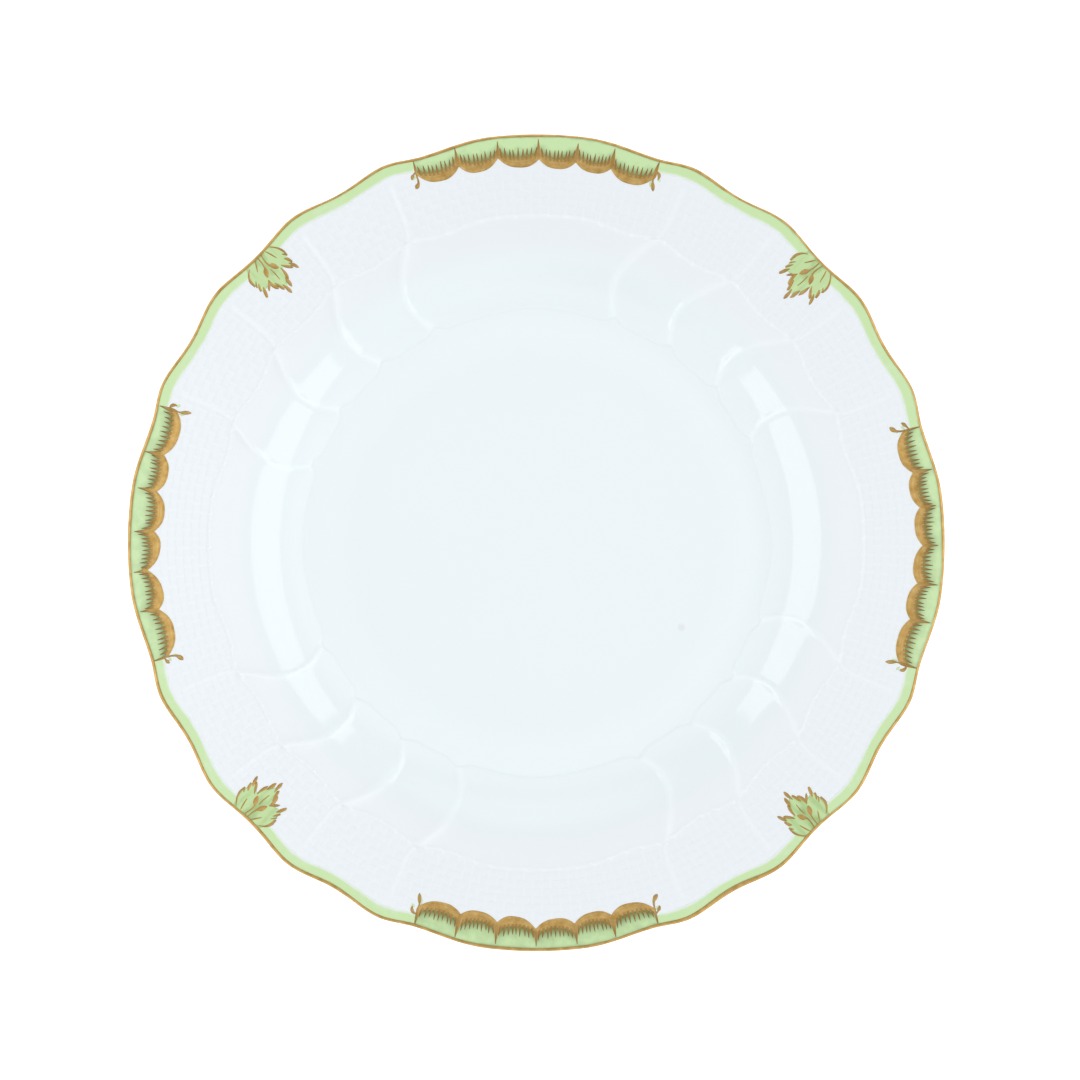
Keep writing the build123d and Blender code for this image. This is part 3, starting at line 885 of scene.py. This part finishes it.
def gold_horns(gilding, centre, cusps, rng):
    """The long horn on each cusp, thin on the two at the garland's ends."""
    last = len(cusps) - 1
    widths = {0: (0.7, 0.85, 0.7), last: (0.8, 1.4, 0.9)}
    for k, (at, low) in enumerate(cusps):
        tip = 130.9 if k in (0, last) else rng.uniform(131.2, 132.0)
        lean = rng.uniform(-0.15, 0.15)
        foot, waist, neck = widths.get(k, (0.9, 2.3, 1.15))
        points = [
            (at, low - 0.1, foot),
            (at + lean, low + 1.5, waist),
            (at + 2 * lean, 129.0, neck),
            (at + 3 * lean, tip, 0.2),
        ]
        gilding.stroke(centre, 1, points, HORN_LIFT, np.linspace(0.25, 0.7, 12), count=12)


def gold_sprig(name, centre, side, end, strokes, gold, rng):
    """A sprig at one end of a garland, each stroke of which strays a little more towards its tip."""
    sprig = Layer()
    for shape in strokes:
        aside, out = rng.uniform(-0.15, 0.15, 2)
        points = [(a + end + aside * k, r + out * k, w) for k, (a, r, w) in enumerate(shape)]
        sprig.stroke(centre, side, points, GOLD_LIFT, 0.35, count=16)
    sprig.piece(name, gold, "gilding")


def green_panel(name, garland, enamel, green):
    """The green panel behind a garland's teeth, darkest between their roots and by the gold line."""
    centre, cusps, _ = garland
    along = np.linspace(cusps[0][0], cusps[-1][0], 220)
    low = np.empty_like(along)
    for left, right, bottom in scallops(garland):
        inside = (along >= left[0]) & (along <= right[0])
        low[inside] = teeth_roots(bottom, (along[inside] - left[0]) / (right[0] - left[0])) - TEETH_OVERLAP
    high = painted_limit(centre - np.degrees(along / DRAWING_RADIUS))
    rise = np.array([0.0, 0.08, 0.16, 0.24, 0.34, 0.46, 0.6, 0.72, 0.82, 0.88, 0.93, 1.0])[:, None]
    radius = low + (high - low) * rise
    above = radius - low
    tone = 0.46 + DARKER_BY[name] + 0.12 * np.exp(-above / 4.0) + 0.42 * hump(above, 2.5)
    tone = tone + 0.20 * hump(high - radius, LINE_SHADE)
    enamel.drawn(centre, 1, along, radius, edge_lift(radius.shape, ENAMEL_LIFT), tone)
    enamel.piece(f"green_panel_{name}", green, "green_enamel")


def painted_garland(name, garland, gold, green, rng):
    """One garland: gold scallops with combs of teeth, over a green panel, and a sprig at each end."""
    centre, cusps, _ = garland
    gilding, enamel = Layer(), Layer()
    for scallop in scallops(garland):
        gold_scallop(gilding, centre, scallop, rng)
        gold_comb(gilding, centre, scallop, rng)
    gold_horns(gilding, centre, cusps, rng)
    for hand, side, end in (("right", 1, cusps[-1][0]), ("left", -1, -cusps[0][0])):
        strokes, dabs = SPRIGS[hand]
        for shape in dabs:
            enamel.stroke(centre, side, [(a + end, r, w) for a, r, w in shape], ENAMEL_LIFT, 0.3, count=10)
        gold_sprig(f"gold_tendril_{name}_{hand}", centre, side, end, strokes, gold, rng)
    gilding.piece(f"gold_garland_{name}", gold, "gilding")
    green_panel(name, garland, enamel, green)


def painted_leaf(name, leaf, gold, green, rng):
    """One leaf: a green ground with gold stems, buds, veins and tips."""
    centre, size = leaf

    def sized(point):
        """A point of the drawing, at this leaf's size."""
        return (point[0] * (0.5 + 0.5 * size), LEAF_FOOT + (point[1] - LEAF_FOOT) * size, *point[2:])

    outline = through([sized(p) for p in LEAF_OUTLINE + LEAF_OUTLINE[:1]], 170)[:-1]
    along = outline[:, 0]
    radius = np.minimum(outline[:, 1], painted_limit(centre - np.degrees(along / DRAWING_RADIUS)))
    grow = np.array([0.03, 0.2, 0.36, 0.5, 0.63, 0.75, 0.86, 0.95, 1.0])[:, None]
    along = along * grow
    radius = LEAF_MIDDLE + (radius - LEAF_MIDDLE) * grow
    stem = hump(along, 1.5) * smooth((radius - 121.5) / 2.0)
    tone = 0.44 + DARKER_BY[name] + 0.30 * stem - 0.14 * np.cos(along * 1.9) * smooth((grow - 0.3) / 0.4)
    tone = tone + 0.18 * (grow > 0.9)
    lift = LEAF_LIFT * np.where(grow < 1.0, 1.0, SHOULDER)
    enamel = Layer()
    enamel.drawn(centre, 1, along, radius, lift, tone, closed=True)
    enamel.piece(f"green_leaf_{name}", green, "leaf_enamel")
    gilding = Layer()
    for shape in LEAF_STROKES:
        wobble = rng.uniform(-0.12, 0.12, 2)
        points = [sized((a + wobble[0], r + wobble[1], 1.2 * w)) for a, r, w in shape]
        gilding.stroke(centre, 1, points, LEAF_STROKE_LIFT, 0.35, count=16)
    gilding.piece(f"gold_leaf_strokes_{name}", gold, "gilding")


def garland_end(side, hand):
    """The angle of a garland's left (0) or right (1) end."""
    centre, cusps, _ = GARLANDS[side]
    return centre - math.degrees(cusps[-hand][0] / DRAWING_RADIUS)


def painted_ribbon(name, start, end, green, rng):
    """One length of the ribbon along the rim, with the soft inner edge of a loaded brush."""
    angle = np.linspace(start, end, 150)
    rim = rim_radius(angle)
    waves = (17, 41, 67)  # to the round
    wave = sum(rng.uniform(0.02, 0.09) * np.sin(np.radians(angle * k) + rng.uniform(0, 6)) for k in waves)
    inner = rim - RIBBON_WIDTH - 0.12 * (rim - 132.0) + wave  # broader where the rim reaches out
    high = painted_limit(angle)
    rise = np.array([0.0, 0.1, 0.2, 0.3, 0.42, 0.56, 0.68, 0.78, 0.84, 0.9, 1.0])[:, None]
    radius = inner + (high - inner) * rise
    tone = 0.42 * smooth(rise / 0.36) + 0.04 * np.sin(np.radians(angle * 23)) * smooth(rise / 0.3)
    tone = tone + 0.22 * hump(high - radius, LINE_SHADE)
    layer = Layer()
    layer.add(angle, radius, edge_lift(radius.shape, RIBBON_LIFT), tone)
    layer.piece(f"green_ribbon_{name}", green, "green_enamel")


# ---------------------------------------------------------------- studio
SOFTBOX_COLOUR = (0.95, 0.95, 1.05)
# Soft patches of the sky: the direction of the middle, how much brighter or darker it is, and the size.
SKY_PATCHES = [
    ((0.0, -0.42, 0.90), -0.45, 0.55),
    ((0.45, 0.0, 0.89), 0.85, 0.6),
    ((-0.45, 0.0, 0.89), 0.34, 0.6),
    ((-0.25, -0.91, 0.33), -0.45, 0.36),
]
SKY_COLOUR = (0.97, 0.985, 1.0, 1.0)
RIM_HEIGHT = 0.025
CAMERA_HEIGHT = 2.0  # over the rim
CAMERA_ASIDE = (0.00122, 0.00091)
FRAME_WIDTH = 0.3531  # of the view, at the height of the rim
SENSOR_WIDTH = 36.0


def studio_floor():
    """A level floor that reaches well past the view, in squares of a metre."""
    mesh = bpy.data.meshes.new("floor")
    grid = np.linspace(-4.0, 4.0, 9)
    count = len(grid)
    corners = [(x, y, 0.0) for y in grid for x in grid]
    starts = [row * count + column for row in range(count - 1) for column in range(count - 1)]
    mesh.from_pydata(corners, [], [(i, i + 1, i + count + 1, i + count) for i in starts])
    mesh.materials.append(floor_material())
    return new_object("floor", mesh)


def softbox(name, place_at, size, radiance):
    """A rectangular softbox that faces the plate."""
    light = bpy.data.lights.new(name, "AREA")
    light.shape = "RECTANGLE"
    light.size, light.size_y = size
    light.energy = radiance * math.pi * size[0] * size[1]
    light.color = SOFTBOX_COLOUR
    box = new_object(name, light)
    box.location = place_at
    box.rotation_euler = (Vector((0.0, 0.0, 0.01)) - Vector(place_at)).to_track_quat("-Z", "Y").to_euler()
    box.visible_camera = False


def studio_sky():
    """A soft sky, brightest low down, with more light from the front, the sides and far behind."""
    world = bpy.data.worlds.new("studio")
    world.use_nodes = True
    tree = world.node_tree
    sky = add_node(tree, "ShaderNodeTexCoord").outputs["Generated"]
    way = add_node(tree, "ShaderNodeSeparateXYZ", {0: sky})
    x, y, z = (way.outputs[axis] for axis in "XYZ")
    across = combined(tree, x, x, "MULTIPLY")
    along = combined(tree, y, y, "MULTIPLY")
    terms = [
        spread(tree, z, 1.307, 0.719),
        spread(tree, combined(tree, across, along, "SUBTRACT"), -0.2, 0.2, -1.0, 1.0),
        spread(tree, y, 0.25, -0.25, -1.0, 1.0),
        spread(tree, y, 0.0, 1.0, 0.75, 1.0),
    ]
    for direction, strength, size in SKY_PATCHES:
        away = add_node(tree, "ShaderNodeVectorMath", {0: sky, 1: direction}, operation="DISTANCE")
        terms.append(spread(tree, away.outputs["Value"], strength, 0.0, 0.1, size))
    total = terms[0]
    for term in terms[1:]:
        total = combined(tree, total, term, "ADD")
    background = tree.nodes["Background"]
    background.inputs["Color"].default_value = SKY_COLOUR
    tree.links.new(total, background.inputs["Strength"])
    bpy.context.scene.world = world
    bpy.context.scene.view_settings.view_transform = "Standard"


def studio_camera():
    """A camera that looks straight down on the plate."""
    lens = bpy.data.cameras.new("camera")
    lens.sensor_width = SENSOR_WIDTH
    lens.lens = SENSOR_WIDTH * CAMERA_HEIGHT / FRAME_WIDTH
    camera = new_object("camera", lens)
    camera.location = (*CAMERA_ASIDE, CAMERA_HEIGHT + RIM_HEIGHT)
    bpy.context.scene.camera = camera


# ---------------------------------------------------------------- build
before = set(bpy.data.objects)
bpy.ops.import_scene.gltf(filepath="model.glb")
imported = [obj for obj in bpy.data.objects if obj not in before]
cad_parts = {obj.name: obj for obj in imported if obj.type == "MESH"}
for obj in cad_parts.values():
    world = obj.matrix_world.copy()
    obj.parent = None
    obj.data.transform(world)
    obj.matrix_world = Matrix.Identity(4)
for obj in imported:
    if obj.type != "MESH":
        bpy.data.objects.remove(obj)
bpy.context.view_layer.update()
rng = np.random.default_rng(SEED)

glaze = glaze_material()
biscuit = biscuit_material()
panel_green = enamel_material("green_enamel", (0.13, 0.17, 0.045), (0.525, 0.695, 0.363), PORCELAIN)
leaf_green = enamel_material("leaf_enamel", (0.21, 0.35, 0.11), (0.475, 0.63, 0.30), (0.62, 0.75, 0.46))
gold = gold_material()

for node, material in (("porcelain_body", biscuit), ("glaze_recess", glaze)):
    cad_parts[node].data.materials.clear()
    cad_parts[node].data.materials.append(material)

well_and_wall(glaze)
woven_border(glaze)
glazed_back(glaze)
gold_edge(gold)
for side, garland in GARLANDS.items():
    painted_garland(side, garland, gold, panel_green, rng)
for corner, leaf in LEAVES.items():
    painted_leaf(corner, leaf, gold, leaf_green, rng)
for name, side, hand, corner, turn in (
    ("ene", "east", 0, "northeast", -1),
    ("nne", "north", 1, "northeast", 1),
    ("nnw", "north", 0, "northwest", -1),
    ("wnw", "west", 1, "northwest", 1),
    ("wsw", "west", 0, "southwest", -1),
    ("ssw", "south", 1, "southwest", 1),
    ("sse", "south", 0, "southeast", -1),
    ("ese", "east", 1, "southeast", 1),
):
    first = garland_end(side, hand)
    last = LEAVES[corner][0] + turn * LEAF_REACH
    first += 360.0 * round((last - first) / 360.0)
    painted_ribbon(name, min(first, last), max(first, last), panel_green, rng)

floor = studio_floor()
softbox("softbox_left", (-0.95, 0.0, 0.53), (1.53, 0.29), 1.65)
softbox("softbox_right", (0.95, 0.0, 0.53), (1.7, 0.32), 1.45)
studio_sky()
studio_camera()
